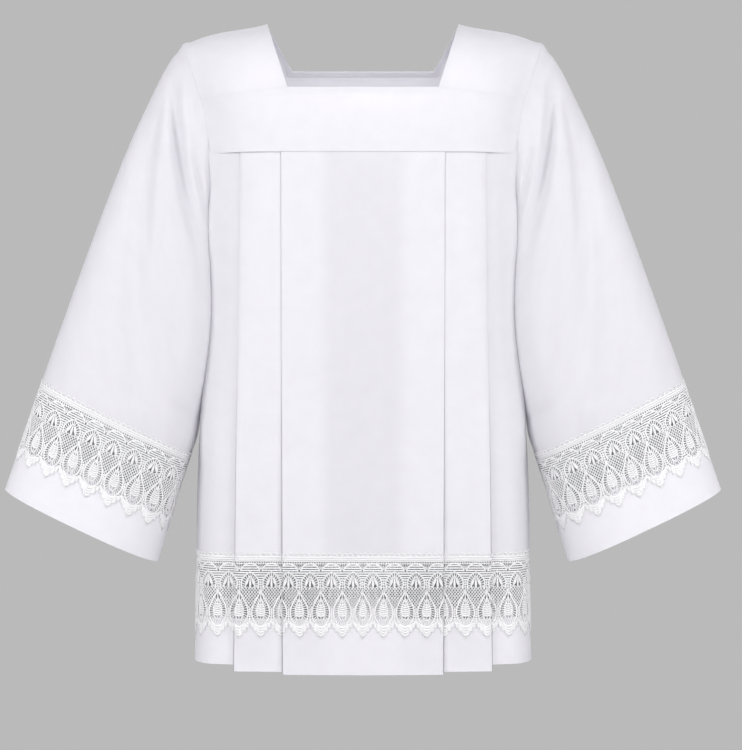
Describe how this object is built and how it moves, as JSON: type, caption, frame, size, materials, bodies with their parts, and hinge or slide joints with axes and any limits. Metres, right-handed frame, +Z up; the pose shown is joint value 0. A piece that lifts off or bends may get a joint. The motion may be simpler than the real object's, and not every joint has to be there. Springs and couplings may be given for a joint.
{
  "type": "surplice, filled out as if worn",
  "caption": "Hollow white surplice with a square neck, a yoke, a pleated body, wide sleeves, and lace set in near the hem and cuffs.",
  "frame": {"origin": "midway between the two places where the wearer's shoulders carry the garment, at the height of the shoulders", "axes": "+X across the shoulders to the viewer's right, +Y from the front of the garment to its back, +Z up"},
  "size_m": [0.9472, 0.236, 0.8624],
  "materials": {
    "cloth": "white plain-woven poly-cotton, smooth and pressed, with a faint sheen",
    "lace": "white guipure lace of matt cotton thread, open between its motifs"
  },
  "bodies": {
    "root": {"front_band": "cloth", "back_band": "cloth", "shoulder_left": "cloth", "shoulder_right": "cloth", "neck_facing": "cloth", "front_skirt": "cloth", "back_skirt": "cloth", "front_hem_band": "cloth", "back_hem_band": "cloth", "sleeve_left": "cloth", "sleeve_right": "cloth", "cuff_band_left": "cloth", "cuff_band_right": "cloth", "front_lace": "lace", "back_lace": "lace", "sleeve_lace_left": "lace", "sleeve_lace_right": "lace"}
  },
  "joints": []
}
